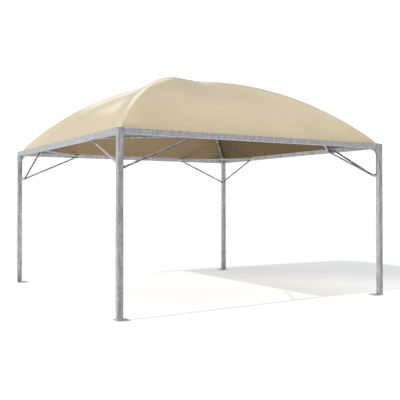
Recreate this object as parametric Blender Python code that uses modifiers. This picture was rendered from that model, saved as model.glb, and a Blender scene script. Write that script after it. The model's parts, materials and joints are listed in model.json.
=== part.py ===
"""Dome-roof gazebo: four square steel posts, an eaves frame, two crossing roof arches and a canopy.

Lengths are in metres and +Z is up. The origin is the centre of the footprint on the ground, and
the front side faces -Y. The four corners are alike, so one corner is described in its own axes:
X and Y run from the outside corner of its post along the two beams that meet there. The other
corners are the same pieces turned by a quarter turn.
"""
import math

import bmesh
import bpy
from mathutils import Matrix, Vector

# Overall size
SIDE = 4.00  # outside to outside of the posts, both ways
EAVES = 2.10  # ground to the top of the beams
RISE = 1.00  # top of the beams to the crown of the canopy
GAP = 0.0003  # between pieces that touch
SHARP_ANGLE = math.radians(45)  # edges that turn more than this stay crisp

# Square tube of the posts and beams
TUBE = 0.065
TUBE_CORNER = 0.004
CORNER_SEGMENTS = 3

# Foot plate under each post, flush with its two outside faces
PLATE_SIDE = 0.150
PLATE_THICKNESS = 0.008
PLATE_CORNER = 0.006

# Cap on each post
CAP_THICKNESS = 0.004

# Round tube of the roof arches
ARCH_DIAMETER = 0.050
ARCH_POINTS = 18
ROUND_RESOLUTION = 4  # gives the tube 12 sides
ARCH_END = 0.034  # from the post's inside corner to the foot of the arch, along the diagonal
CROWN_ARM = 0.100  # centre to the end of each arm of the crown connector
CROWN_POINTS = 5
CROWN_GAP = 0.0010  # at the middle of an arm's end, which meets the arch at a slight angle

# Fabric of the canopy
FABRIC = 0.003
FABRIC_STATIONS = 28
FABRIC_SEAT = 0.001  # between the fabric and the arches
HEM_INSET = 0.008  # from the outside face of a beam to the edge of the fabric
NOTCH_CLEARANCE = 0.001  # between a post and the notch in the fabric

# Braces: round tube with flattened ends
BRACE_RADIUS = 0.0125
BRACE_SIDES = 12
FLAT_SQUARENESS = 0.4  # 1 is an ellipse, and less is squarer
FLAT_HALF_WIDTH = 0.017
FLAT_HALF_THICKNESS = 0.002
FLAT_TIP = 0.016  # bolt to the tip of a flattened end
FLAT_LENGTH = 0.020  # bolt to the start of the taper
CORNER_FLAT_LENGTH = 0.011  # the same on a corner brace, which lies over a knee brace and turns away
TAPER = 0.035  # length over which flat turns into round
BEAM_BOLT = 1.020  # outside corner to the bolt that holds the braces on a beam
TAB_BOLT = 0.028  # post's inside corner to the bolt in the brace tab
TAB_BOLT_HEIGHT = 1.665

# Brace tab and arch gusset: upright plates on the inside corner of the post
TAB_THICKNESS = 0.005
TAB_LENGTH = 0.046
TAB_HALF_HEIGHT = 0.022
GUSSET_THICKNESS = 0.008
GUSSET_REACH = 0.115
GUSSET_BOTTOM = 1.955
GUSSET_TOP = 2.055
GUSSET_NOSE = 0.012  # from the end of the hollow edge to the tip of the gusset
HOLLOW_PULL = 0.050  # how far each end of the hollow edge runs on before it bends
OUTLINE_RESOLUTION = 6
QUARTER_CIRCLE = 0.55  # length of the handles that make a quarter circle of radius 1

INNER = SIDE / 2 - TUBE  # centre of the gazebo to the inside faces of posts and beams
BEAM_CENTRE = EAVES - TUBE / 2
DIAGONAL = math.sqrt(2.0)
POST_FOOT = PLATE_THICKNESS + GAP
CAP_BOTTOM = EAVES - CAP_THICKNESS

# Along each diagonal the inside of the canopy is an arc from post to post
RIDGE_FOOT = INNER * DIAGONAL
RIDGE_RADIUS = (RIDGE_FOOT**2 + RISE**2) / (2 * RISE)
ARC_CENTRE = EAVES + GAP + RISE - RIDGE_RADIUS
FOOT_SLOPE = RIDGE_FOOT / math.sqrt(RIDGE_RADIUS**2 - RIDGE_FOOT**2)

# The canopy falls away on both sides of a ridge, most steeply at the foot, so the arch lies
# deeper under the ridge than its own radius
RIDGE_SPREAD = math.sqrt((1 + 2 * FOOT_SLOPE**2) / (1 + FOOT_SLOPE**2))
ARCH_RADIUS = RIDGE_RADIUS - (ARCH_DIAMETER / 2 + FABRIC_SEAT) * RIDGE_SPREAD

# The arches are made of short straight lengths, whose middles lie inside the true arc. What
# touches an arch from below is lower by twice that, because the lengths are longer than their run
ARCH_SAG = 2 * (RIDGE_FOOT / (ARCH_POINTS - 1)) ** 2 / (8 * ARCH_RADIUS)

# Plates on the inside corner of a post start here, along the diagonal from the sharp corner: the
# rounded corner of the tube lies a little further out
PLATE_EDGE = 2 * GAP - TUBE_CORNER * (DIAGONAL - 1)

CORNERS = ("front_left", "front_right", "back_right", "back_left")
SIDES = ("front", "right", "back", "left")  # side that runs along X from the corner of that index


def clear_scene():
    """Remove whatever the scene holds."""
    for old in list(bpy.data.objects):
        bpy.data.objects.remove(old, do_unlink=True)


def make_collection(name):
    """Add a collection to the scene."""
    collection = bpy.data.collections.new(name)
    bpy.context.scene.collection.children.link(collection)
    return collection


def make_material(name, colour, roughness, metallic):
    """Return a plain Principled material."""
    material = bpy.data.materials.new(name)
    material.use_nodes = True
    shader = material.node_tree.nodes["Principled BSDF"]
    shader.inputs["Base Color"].default_value = (*colour, 1.0)
    shader.inputs["Roughness"].default_value = roughness
    shader.inputs["Metallic"].default_value = metallic
    material.diffuse_color = (*colour, 1.0)
    return material


def place(name, data, collection, parent=None, location=(0, 0, 0), turn=(0, 0, 0)):
    """Add an object to a collection at a location and rotation under its parent."""
    piece = bpy.data.objects.new(name, data)
    collection.objects.link(piece)
    piece.parent = parent
    piece.location = location
    piece.rotation_euler = turn
    return piece


def give_material(piece, material):
    """Set the one material of a piece, on the object so that shared meshes can differ."""
    if not piece.data.materials:
        piece.data.materials.append(None)
    piece.material_slots[0].link = "OBJECT"
    piece.material_slots[0].material = material


def square_bar(name, width, length, corner):
    """Return the mesh of an upright square bar with rounded long edges, standing on its origin."""
    bar = bmesh.new()
    bmesh.ops.create_cube(bar, size=1.0)
    bmesh.ops.scale(bar, vec=(width, width, length), verts=bar.verts)
    bmesh.ops.translate(bar, vec=(0, 0, length / 2), verts=bar.verts)
    long_edges = [
        edge for edge in bar.edges if abs(edge.verts[0].co.z - edge.verts[1].co.z) > length / 2
    ]
    bmesh.ops.bevel(
        bar, geom=long_edges, offset=corner, segments=CORNER_SEGMENTS, profile=0.5, affect="EDGES"
    )
    mesh = bpy.data.meshes.new(name)
    bar.to_mesh(mesh)
    bar.free()
    mesh.shade_smooth()
    mesh.set_sharp_from_angle(angle=SHARP_ANGLE)
    return mesh


def curve_to_mesh(curve, collection):
    """Replace a curve object by the mesh it makes, with its caps welded on."""
    bpy.context.view_layer.update()
    evaluated = curve.evaluated_get(bpy.context.evaluated_depsgraph_get())
    mesh = bpy.data.meshes.new_from_object(evaluated)
    work = bmesh.new()
    work.from_mesh(mesh)
    bmesh.ops.remove_doubles(work, verts=work.verts, dist=1e-5)
    work.to_mesh(mesh)
    work.free()
    mesh.shade_smooth()
    mesh.set_sharp_from_angle(angle=SHARP_ANGLE)
    name = curve.name
    place_in_world = curve.matrix_world.copy()
    bpy.data.objects.remove(curve, do_unlink=True)
    piece = place(name, mesh, collection)
    piece.matrix_world = place_in_world
    return piece


def arc_point(radius, run):
    """Return a point on an arc about the crown's axis, at a horizontal run from that axis."""
    return Vector((run, 0.0, ARC_CENTRE + math.sqrt(radius**2 - run**2)))


def arch_curve(name, first_run, last_run, points):
    """Return curve data of a roof arch in the XZ plane, between two runs from the crown's axis."""
    first_angle = math.asin(first_run / ARCH_RADIUS)
    last_angle = math.asin(last_run / ARCH_RADIUS)
    data = bpy.data.curves.new(name, "CURVE")
    data.dimensions = "3D"
    data.bevel_depth = ARCH_DIAMETER / 2
    data.bevel_resolution = ROUND_RESOLUTION
    data.use_fill_caps = True
    spline = data.splines.new("POLY")
    spline.points.add(points - 1)
    for index, point in enumerate(spline.points):
        angle = first_angle + (last_angle - first_angle) * index / (points - 1)
        point.co = (*arc_point(ARCH_RADIUS, ARCH_RADIUS * math.sin(angle)), 1.0)
    return data


def plate_curve(name, outline, thickness, rounded=()):
    """Return curve data of a flat plate: an outline in XY, extruded to both sides.

    The points whose index is in rounded get free handles, given with them as offsets.
    """
    data = bpy.data.curves.new(name, "CURVE")
    data.dimensions = "2D"
    data.fill_mode = "BOTH"
    data.extrude = thickness / 2
    data.resolution_u = OUTLINE_RESOLUTION
    spline = data.splines.new("BEZIER")
    spline.bezier_points.add(len(outline) - 1)
    spline.use_cyclic_u = True
    handles = dict(rounded)
    for index, (point, where) in enumerate(zip(spline.bezier_points, outline)):
        point.co = (*where, 0.0)
        point.handle_left_type = "VECTOR"
        point.handle_right_type = "VECTOR"
        if index in handles:
            left, right = handles[index]
            point.handle_left_type = "FREE"
            point.handle_right_type = "FREE"
            point.handle_left = (where[0] + left[0], where[1] + left[1], 0.0)
            point.handle_right = (where[0] + right[0], where[1] + right[1], 0.0)
    return data


def brace_mesh(name, stations):
    """Return the mesh of a brace lofted through its stations.

    A station is a centre, the level direction across the flat, a half width and a half
    thickness. A flattened section is squarer than an ellipse.
    """
    brace = bmesh.new()
    rings = []
    for index, (centre, level, half_width, half_thickness) in enumerate(stations):
        before = stations[max(index - 1, 0)][0]
        after = stations[min(index + 1, len(stations) - 1)][0]
        upright = level.cross(after - before).normalized()
        power = FLAT_SQUARENESS + (1 - FLAT_SQUARENESS) * half_thickness / half_width
        ring = []
        for step in range(BRACE_SIDES):
            angle = 2 * math.pi * step / BRACE_SIDES
            wide = math.copysign(abs(math.cos(angle)) ** power, math.cos(angle))
            thick = math.copysign(abs(math.sin(angle)) ** power, math.sin(angle))
            offset = upright * half_width * wide + level * half_thickness * thick
            ring.append(brace.verts.new(centre + offset))
        rings.append([brace.edges.new((ring[step - 1], ring[step])) for step in range(BRACE_SIDES)])
    for first, second in zip(rings, rings[1:]):
        bmesh.ops.bridge_loops(brace, edges=first + second)
    bmesh.ops.holes_fill(brace, edges=brace.edges, sides=BRACE_SIDES)
    bmesh.ops.recalc_face_normals(brace, faces=brace.faces)
    mesh = bpy.data.meshes.new(name)
    brace.to_mesh(mesh)
    brace.free()
    mesh.shade_smooth()
    mesh.set_sharp_from_angle(angle=SHARP_ANGLE)
    return mesh


def flattened_ends(first_end, last_end, first_level, last_level):
    """Return the stations of a brace: flat, round, round and flat.

    Each end is a list of three points: the tip, the end of the flat and the start of the tube.
    """
    tube_run = last_end[2] - first_end[2]
    tube_level = Vector((tube_run.y, -tube_run.x, 0.0)).normalized()
    stations = []
    for end, level in ((first_end, first_level), (last_end, last_level)):
        flat = (level, FLAT_HALF_WIDTH, FLAT_HALF_THICKNESS)
        side = [(end[0], *flat), (end[1], *flat), (end[2], tube_level, BRACE_RADIUS, BRACE_RADIUS)]
        stations += side if not stations else reversed(side)
    return stations


def knee_brace_stations():
    """Return the stations of the knee brace along X, in the axes of the corner."""
    diagonal = Vector((1.0, 1.0, 0.0)).normalized()
    sideways = Vector((1.0, -1.0, 0.0)).normalized()
    along_beam = Vector((1.0, 0.0, 0.0))
    tab_face = TAB_THICKNESS / 2 + GAP + FLAT_HALF_THICKNESS
    tab_bolt = Vector((TUBE, TUBE, 0.0)) + diagonal * TAB_BOLT + sideways * tab_face
    bend = tab_bolt + diagonal * FLAT_LENGTH
    beam_face = TUBE + GAP
    beam_bolt = Vector((BEAM_BOLT, beam_face + FLAT_HALF_THICKNESS, 0.0))
    tube_end = Vector((BEAM_BOLT - FLAT_LENGTH - TAPER, beam_face + BRACE_RADIUS, 0.0))
    tube_start = bend + (tube_end - bend).normalized() * TAPER
    bolt_to_bolt = beam_bolt - tab_bolt
    climb = (BEAM_CENTRE - TAB_BOLT_HEIGHT) / bolt_to_bolt.length

    def raised(point):
        run = (point - tab_bolt).dot(bolt_to_bolt.normalized())
        return point + Vector((0.0, 0.0, TAB_BOLT_HEIGHT + climb * run))

    at_tab = [tab_bolt - diagonal * FLAT_TIP, bend, tube_start]
    at_beam = [beam_bolt + along_beam * FLAT_TIP, beam_bolt - along_beam * FLAT_LENGTH, tube_end]
    return flattened_ends(
        [raised(point) for point in at_tab],
        [raised(point) for point in at_beam],
        sideways,
        Vector((0.0, -1.0, 0.0)),
    )


def corner_brace_stations():
    """Return the stations of the level brace from beam to beam, in the axes of the corner."""
    flat_centre = TUBE + GAP + 2 * FLAT_HALF_THICKNESS + GAP + FLAT_HALF_THICKNESS
    tip = Vector((BEAM_BOLT + FLAT_TIP, flat_centre, BEAM_CENTRE))
    bend = Vector((BEAM_BOLT - CORNER_FLAT_LENGTH, flat_centre, BEAM_CENTRE))
    tube_end = bend + Vector((-1.0, 1.0, 0.0)).normalized() * TAPER
    end = [tip, bend, tube_end]
    level = Vector((0.0, 1.0, 0.0))
    return flattened_ends(end, [point.yxz for point in end], level, level.yxz)


def mirrored(stations):
    """Return stations mirrored in the diagonal plane of the corner."""
    return [(centre.yxz, level.yxz, *size) for centre, level, *size in stations]


def build_corner(index, meshes, materials, parts, cutters):
    """Place the pieces of one corner under an empty at the outside corner of its post."""
    corner = CORNERS[index]
    quarter_turn = Matrix.Rotation(index * math.pi / 2, 4, "Z")
    empty = place(
        f"{corner}_corner",
        None,
        parts,
        location=quarter_turn @ Vector((-SIDE / 2, -SIDE / 2, 0.0)),
        turn=(0, 0, index * math.pi / 2),
    )
    upright = (math.pi / 2, 0, math.pi / 4)  # stands a flat outline in the diagonal plane
    middle = TUBE / 2

    def add(name, data, material, location, turn=(0, 0, 0)):
        piece = place(name, data, parts, empty, location, turn)
        give_material(piece, materials[material])

    add(f"{corner}_post", meshes["post"], "post", (middle, middle, POST_FOOT))
    add(f"{corner}_foot_plate", meshes["plate"], "plate", (PLATE_SIDE / 2, PLATE_SIDE / 2, 0))
    add(f"{corner}_post_cap", meshes["cap"], "cap", (middle, middle, CAP_BOTTOM))
    add(f"{corner}_brace_tab", meshes["tab"], "plate", (TUBE, TUBE, TAB_BOLT_HEIGHT), upright)
    add(f"{corner}_arch_gusset", meshes["gusset"], "plate", (TUBE, TUBE, 0), upright)
    add(f"{corner}_knee_brace_{SIDES[index]}", meshes["knee_brace"], "brace", (0, 0, 0))
    add(f"{corner}_knee_brace_{SIDES[index - 1]}", meshes["other_knee_brace"], "brace", (0, 0, 0))
    add(f"{corner}_corner_brace", meshes["corner_brace"], "brace", (0, 0, 0))
    add(
        f"{SIDES[index]}_beam",
        meshes["beam"],
        "beam",
        (TUBE + GAP, middle, BEAM_CENTRE),
        (0, math.pi / 2, 0),
    )
    add(
        f"{corner}_roof_arch",
        meshes["arch"],
        "arch",
        (SIDE / 2, SIDE / 2, 0),
        (0, 0, math.radians(180 + 45)),
    )

    # Notch that leaves the top of the post clear of the fabric
    notch = bpy.data.meshes.new(f"{corner}_notch")
    box = bmesh.new()
    bmesh.ops.create_cube(box, size=TUBE + 2 * NOTCH_CLEARANCE)
    box.to_mesh(notch)
    box.free()
    cutter = place(f"{corner}_notch", notch, cutters, empty, (middle, middle, EAVES))
    cutter.hide_render = True
    cutter.display_type = "WIRE"


def corner_meshes(parts):
    """Make the data that the four corners share, each piece in its own axes."""
    meshes = {}
    meshes["post"] = square_bar("post", TUBE, CAP_BOTTOM - GAP - POST_FOOT, TUBE_CORNER)
    meshes["beam"] = square_bar("beam", TUBE, 2 * (INNER - GAP), TUBE_CORNER)
    meshes["cap"] = square_bar("post_cap", TUBE, CAP_THICKNESS, TUBE_CORNER)
    meshes["plate"] = square_bar("foot_plate", PLATE_SIDE, PLATE_THICKNESS, PLATE_CORNER)
    meshes["tab"] = tab_mesh(parts)
    meshes["gusset"] = gusset_mesh(parts)
    meshes["arch"] = arch_mesh(parts)
    knee = knee_brace_stations()
    meshes["knee_brace"] = brace_mesh("knee_brace", knee)
    meshes["other_knee_brace"] = brace_mesh("other_knee_brace", mirrored(knee))
    meshes["corner_brace"] = brace_mesh("corner_brace", corner_brace_stations())
    return meshes


def mesh_of_curve(data, parts):
    """Return the mesh that curve data makes."""
    piece = curve_to_mesh(place(data.name, data, parts), parts)
    mesh = piece.data
    bpy.data.objects.remove(piece, do_unlink=True)
    return mesh


def arch_mesh(parts):
    """Return a quarter arch, from the crown connector to its foot over the gusset."""
    data = arch_curve("roof_arch", CROWN_ARM, RIDGE_FOOT - ARCH_END, ARCH_POINTS)
    return mesh_of_curve(data, parts)


def tab_mesh(parts):
    """Return the tab that the knee braces are bolted to, with a rounded nose."""
    nose = TAB_HALF_HEIGHT
    bend = nose * QUARTER_CIRCLE
    outline = (
        (PLATE_EDGE, -nose),
        (TAB_LENGTH - nose, -nose),
        (TAB_LENGTH, 0.0),
        (TAB_LENGTH - nose, nose),
        (PLATE_EDGE, nose),
    )
    rounded = (
        (1, ((-nose / 3, 0.0), (bend, 0.0))),
        (2, ((0.0, -bend), (0.0, bend))),
        (3, ((bend, 0.0), (-nose / 3, 0.0))),
    )
    return mesh_of_curve(plate_curve("brace_tab", outline, TAB_THICKNESS, rounded), parts)


def gusset_mesh(parts):
    """Return the gusset under the foot of an arch: flat, then up along the arch, and hollow below."""
    under_arch = ARCH_RADIUS - ARCH_DIAMETER / 2 - ARCH_SAG
    tip_height = arc_point(under_arch, RIDGE_FOOT - GUSSET_REACH).z
    rim_run = (RIDGE_FOOT - ARCH_END) * under_arch / ARCH_RADIUS
    rim_height = arc_point(under_arch, rim_run).z
    beam_bottom = EAVES - TUBE
    between_beams = GUSSET_THICKNESS / 2 + 3 * GAP
    outline = (
        (PLATE_EDGE, GUSSET_BOTTOM),
        (GUSSET_REACH - GUSSET_NOSE, beam_bottom),
        (GUSSET_REACH, tip_height),
        (RIDGE_FOOT - rim_run, rim_height),
        (between_beams, GUSSET_TOP),
        (between_beams, beam_bottom - GAP),
        (PLATE_EDGE, beam_bottom - GAP),
    )
    rounded = (
        (0, ((0.0, HOLLOW_PULL / 2), (HOLLOW_PULL / 8, HOLLOW_PULL))),
        (1, ((-HOLLOW_PULL, -HOLLOW_PULL / 8), (0.0, HOLLOW_PULL / 2))),
    )
    return mesh_of_curve(plate_curve("arch_gusset", outline, GUSSET_THICKNESS, rounded), parts)


def build_crown(material, parts, cutters):
    """Join two short crossing lengths of arch into the four-way connector at the crown."""
    reach = CROWN_ARM - CROWN_GAP
    pieces = []
    for name, turn in (("crown_connector", 45), ("crown_crossing", 135)):
        curve = place(name, arch_curve(name, -reach, reach, CROWN_POINTS), parts)
        curve.rotation_euler = (0, 0, math.radians(turn))
        pieces.append(curve_to_mesh(curve, parts if name == "crown_connector" else cutters))
    connector, crossing = pieces
    crossing.hide_render = True
    crossing.display_type = "WIRE"
    union = connector.modifiers.new("crossing", "BOOLEAN")
    union.operation = "UNION"
    union.object = crossing
    give_material(connector, material)


def build_canopy(material, parts, cutters):
    """Turn the diagonal profile in four steps into the square dome, as thick as the fabric."""
    runs = [RIDGE_FOOT * index / FABRIC_STATIONS for index in range(FABRIC_STATIONS + 1)]
    profile = [arc_point(RIDGE_RADIUS, run) for run in runs]
    profile.append(Vector(((SIDE / 2 - HEM_INSET) * DIAGONAL, 0.0, EAVES + GAP)))
    mesh = bpy.data.meshes.new("canopy")
    edges = [(index, index + 1) for index in range(len(profile) - 1)]
    mesh.from_pydata(profile, edges, [])
    canopy = place("canopy", mesh, parts, turn=(0, 0, math.radians(45)))
    screw = canopy.modifiers.new("four_panels", "SCREW")
    screw.steps = 4
    screw.render_steps = 4
    screw.use_merge_vertices = True
    screw.merge_threshold = 0.0001
    screw.use_smooth_shade = False
    solidify = canopy.modifiers.new("fabric", "SOLIDIFY")
    solidify.thickness = FABRIC
    solidify.offset = 1.0
    solidify.use_even_offset = True
    notches = canopy.modifiers.new("post_notches", "BOOLEAN")
    notches.operation = "DIFFERENCE"
    notches.operand_type = "COLLECTION"
    notches.collection = cutters
    give_material(canopy, material)


def main():
    """Build the gazebo."""
    clear_scene()
    parts = make_collection("dome_roof_gazebo")
    notch_cutters = make_collection("notch_cutters")
    crown_cutters = make_collection("crown_cutters")
    materials = {
        "post": make_material("post_steel", (0.46, 0.47, 0.49), 0.45, 0.6),
        "beam": make_material("beam_steel", (0.42, 0.43, 0.45), 0.45, 0.6),
        "arch": make_material("arch_steel", (0.40, 0.41, 0.43), 0.42, 0.6),
        "brace": make_material("brace_steel", (0.40, 0.41, 0.43), 0.40, 0.6),
        "plate": make_material("plate_steel", (0.38, 0.39, 0.41), 0.50, 0.6),
        "cap": make_material("cap_plastic", (0.20, 0.20, 0.21), 0.55, 0.0),
        "crown": make_material("crown_steel", (0.38, 0.39, 0.41), 0.45, 0.6),
        "fabric": make_material("canopy_fabric", (0.68, 0.58, 0.41), 0.75, 0.0),
    }
    meshes = corner_meshes(parts)
    for index in range(len(CORNERS)):
        build_corner(index, meshes, materials, parts, notch_cutters)
    build_crown(materials["crown"], parts, crown_cutters)
    build_canopy(materials["fabric"], parts, notch_cutters)


main()
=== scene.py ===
"""Looks of the dome-roof gazebo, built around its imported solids.

Lengths are in metres and +Z is up. The origin is on the ground under the crown, and the front side
faces -Y. The four corners are alike: a corner is described in its own axes, which start at the
outside corner of its post, with X and Y along the two beams. Everything else is made around the
crown, with a quarter turn from one side of the roof to the next.
"""

import json
import math

import bmesh
import bpy
from mathutils import Matrix, Vector, noise


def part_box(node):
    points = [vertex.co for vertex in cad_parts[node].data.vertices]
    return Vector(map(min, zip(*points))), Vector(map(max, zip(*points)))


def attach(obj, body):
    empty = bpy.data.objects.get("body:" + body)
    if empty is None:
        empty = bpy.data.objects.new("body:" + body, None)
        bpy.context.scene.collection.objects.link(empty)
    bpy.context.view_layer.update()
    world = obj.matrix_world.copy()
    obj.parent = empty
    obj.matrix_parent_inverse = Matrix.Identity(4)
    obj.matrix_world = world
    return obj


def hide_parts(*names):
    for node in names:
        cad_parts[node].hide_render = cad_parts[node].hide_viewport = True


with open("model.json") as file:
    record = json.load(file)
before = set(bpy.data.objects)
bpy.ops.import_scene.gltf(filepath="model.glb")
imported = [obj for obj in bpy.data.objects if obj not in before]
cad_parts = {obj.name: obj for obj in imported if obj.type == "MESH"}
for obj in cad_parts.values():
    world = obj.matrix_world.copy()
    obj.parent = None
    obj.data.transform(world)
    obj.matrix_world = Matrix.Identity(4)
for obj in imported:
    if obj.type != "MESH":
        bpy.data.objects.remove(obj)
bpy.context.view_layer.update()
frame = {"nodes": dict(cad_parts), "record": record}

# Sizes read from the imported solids
POST_LOW, POST_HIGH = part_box("front_left_post")
PLATE_LOW, PLATE_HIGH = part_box("front_left_foot_plate")
TAB_LOW, TAB_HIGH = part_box("front_left_brace_tab")
GUSSET_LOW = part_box("front_left_arch_gusset")[0]
BRACE_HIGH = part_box("front_left_knee_brace_front")[1]
HALF_SIDE = -POST_LOW.x
TUBE = POST_HIGH.x - POST_LOW.x
INNER = HALF_SIDE - TUBE
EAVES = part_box("front_beam")[1].z
BEAM_CENTRE = EAVES - TUBE / 2
PLATE_SIDE = PLATE_HIGH.x - PLATE_LOW.x
PLATE_TOP = PLATE_HIGH.z
GAP = 0.0003  # left between pieces that touch
SHARP_ANGLE = math.radians(40)

# Roof arches, as in the solids: round tube on an arc about the crown's axis
SOLID_FABRIC = 0.003
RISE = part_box("canopy")[1].z - SOLID_FABRIC - GAP - EAVES
ARCH_DIAMETER = 0.050
ARCH_END = 0.034
ARCH_CLEARANCE = 0.001
ARCH_SIDES = 24
ARCH_STEPS = 60
ROOT_TWO = math.sqrt(2.0)
RIDGE_FOOT = INNER * ROOT_TWO
RIDGE_RADIUS = (RIDGE_FOOT**2 + RISE**2) / (2 * RISE)
ARC_CENTRE = EAVES + GAP + RISE - RIDGE_RADIUS
FOOT_SLOPE = RIDGE_FOOT / math.sqrt(RIDGE_RADIUS**2 - RIDGE_FOOT**2)
RIDGE_SPREAD = math.sqrt((1 + 2 * FOOT_SLOPE**2) / (1 + FOOT_SLOPE**2))
ARCH_RADIUS = RIDGE_RADIUS - (ARCH_DIAMETER / 2 + ARCH_CLEARANCE) * RIDGE_SPREAD

# Collar near the foot of an arch, and the narrower spigot that stands on the gusset
COLLAR_RUN = RIDGE_FOOT - 0.100
COLLAR_LENGTH = 0.030
COLLAR_RADIUS = 0.0285
SPIGOT_RADIUS = 0.0215
CHAMFER = 0.0015

# Joint at the crown: sleeves over the arches, a hub and a domed plate under the fabric
CROWN_ARM = 0.100
SLEEVE_REACH = 0.170
SLEEVE_RADIUS = 0.0285
SLEEVE_BOLTS = (0.095, 0.145)
SLEEVE_BOLT = 0.010
SLEEVE_BOLT_SEAT = 0.0275
SLEEVE_BOLT_PROUD = 0.006
HUB_RADIUS = 0.056
HUB_DEPTH = 0.046
HUB_TOP = 0.027
HUB_CHAMFER = 0.004
HUB_BOLT = 0.016
HUB_BOLT_PROUD = 0.010
CROWN_PLATE = (  # its profile of (radius, height), from the middle of the arches up
    (0.068, 0.0265), (0.070, 0.0275), (0.070, 0.0290),
    (0.068, 0.0302), (0.035, 0.0335), (0.006, 0.0350),
)
CROWN_SIDES = 40

# Canopy
FABRIC = 0.0016
FABRIC_SEAT = 0.0006
HEM_INSET = 0.008
HEM_BEND = 0.006  # how softly it bends onto the beam
NOTCH_CLEARANCE = 0.002
RIDGE_ROUND = 0.45  # how far the fabric bends round a ridge, for each unit of its slope
ROUND_START = 0.2
CREST_WIDTH = 0.26
PANEL_SAG = 0.0657
SAG_FALL = 2.3462  # the deepest sag is nearer to the crown the higher this is
SHOULDER = 0.0087  # fullness of the fabric beside a ridge
SHOULDER_OFF = 0.2034
SHOULDER_ALONG = 1.0272
SHOULDER_LENGTH = 0.3463
CROWN_BUMP = 0.0308
CROWN_SPREAD = 0.1494
FOOT_RISE = 0.0322  # the fabric stands up over the foot of an arch
FOOT_RISE_WIDTH = 0.10
FOOT_RISE_LENGTH = 0.4719
EDGE_EASE = 0.015
RIPPLE = 0.0016
RIPPLES = ((2.1, 4.7), (5.3, 1.3))  # how close together they are, and their seed
HALF_COLUMNS = 26
FIRST_COLUMN = 0.004  # beside a ridge
ROWS = 74
HEM_ROWS = 6
HEM_BEND_ROWS = (0.0, 0.003, 0.007, 0.012, 0.020, 0.032, 0.048)  # from the inside of the beam
CUT_STEPS = 400

# Trimmings of the canopy
HEM_ROLL = 0.0035
HEM_WIDTH = 0.030
HEM_FOLD = 0.0014
HEM_STEPS = 96
ROLL_STEPS = 8
HEM_SLOPE = 0.008
HEM_CORNER = 0.001
HEM_UNDER = 0.003
HEM_SWAY = 0.0006
HEM_SWAYS = (3.1, 7.3, 0.5)  # how close together they are, and their seeds
HEM_SEAMS = (0.011, 0.026)
FIXING_PITCH = 0.25
FIXING_START = 0.03
FIXING_INSET = 0.018
EYELET = ((0.0085, 0.0), (0.0090, 0.0006), (0.0085, 0.0013), (0.0065, 0.0015), (0.0060, 0.0008))
SCREW = ((0.0056, 0.0006), (0.0056, 0.0014), (0.0048, 0.0026), (0.0030, 0.0034), (0.0006, 0.0037))
FIXING_SIDES = 20
TAPE_HALF_WIDTH = 0.018
TAPE = 0.0010
TAPE_STEPS = 90
TAPE_COLUMNS = 8
TAPE_START = 0.09
TAPE_END = 0.030
TAPE_LIFT = 0.0002
TAPE_SEAM = 0.75 * TAPE_HALF_WIDTH
PATCH_RADIUS = 0.13
PATCH_RINGS = 7
PATCH_SIDES = 48
PATCH_LIFT = 0.0006
PATCH_SEAM = PATCH_RADIUS - 0.008
STITCH = 0.006
STITCH_PITCH = 0.009
STITCH_RADIUS = 0.0006
STITCH_RISES = ((0.0, -0.4), (0.25, 0.5), (0.75, 0.5), (1.0, -0.4))
THREAD_PITCH = 0.0024
THREAD_WAVES = math.pi / (10 * THREAD_PITCH)

# Braces
BRACE_RADIUS = 0.0125
BRACE_SIDES = 20
FLAT_SQUARENESS = 0.4
FLAT_HALF_WIDTH = 0.017
FLAT_HALF_THICKNESS = 0.002
FLAT_TIP = 0.016
FLAT_LENGTH = 0.020
CORNER_FLAT_LENGTH = 0.011
TAPER = 0.035
TIP_STEPS = 6
TAPER_STEPS = 8
BEAM_BOLT = BRACE_HIGH.x + HALF_SIDE - FLAT_TIP
TAB_BOLT = 0.028
TAB_BOLT_HEIGHT = (TAB_LOW.z + TAB_HIGH.z) / 2
TAB_THICKNESS = 0.005
GUSSET_THICKNESS = 0.008
GUSSET_REACH = 0.115

# Fasteners and welds
BOLT = 0.012
THREAD_PROUD = 0.009
WASHER_SIDES = 24
THREAD_SIDES = 16
ANCHOR = 0.012
ANCHOR_PROUD = 0.006
ANCHOR_INSET = 0.0425
WELD = 0.0045
THIN_WELD = 0.003
WELD_PITCH = 0.0035
WELD_SIDES = 8
WELD_RIPPLE = 0.18
WELD_TIP = 0.35
WELD_SWELL = 6.0
WELD_SUNK = 0.001
WELD_INSET = 0.005
SHORT_INSET = 0.002

CORNERS = ("front_left", "front_right", "back_right", "back_left")
SIDES = ("front", "right", "back", "left")
DIAGONAL = Vector((1.0, 1.0, 0.0)).normalized()
SIDEWAYS = Vector((1.0, -1.0, 0.0)).normalized()
UP = Vector((0.0, 0.0, 1.0))


def corner_matrix(index):
    """Return the place of a corner's own axes."""
    turn = Matrix.Rotation(index * math.pi / 2, 4, "Z")
    return turn @ Matrix.Translation((-HALF_SIDE, -HALF_SIDE, 0.0))


def arch_matrix(index):
    """Return the turn that brings +X onto the level direction from the crown to a corner."""
    return Matrix.Rotation(math.radians(225 + 90 * index), 4, "Z")


def between(first, second, share):
    """Return the value at a share of the way from first to second."""
    return first + (second - first) * share


def smooth_step(share):
    """Return a share from 0 to 1, eased at both ends."""
    share = max(0.0, min(1.0, share))
    return share * share * (3 - 2 * share)


def add_object(name, data):
    """Add an object to the scene."""
    made = bpy.data.objects.new(name, data)
    bpy.context.scene.collection.objects.link(made)
    return made


# Materials: what the helpers take and return are outputs of nodes

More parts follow.
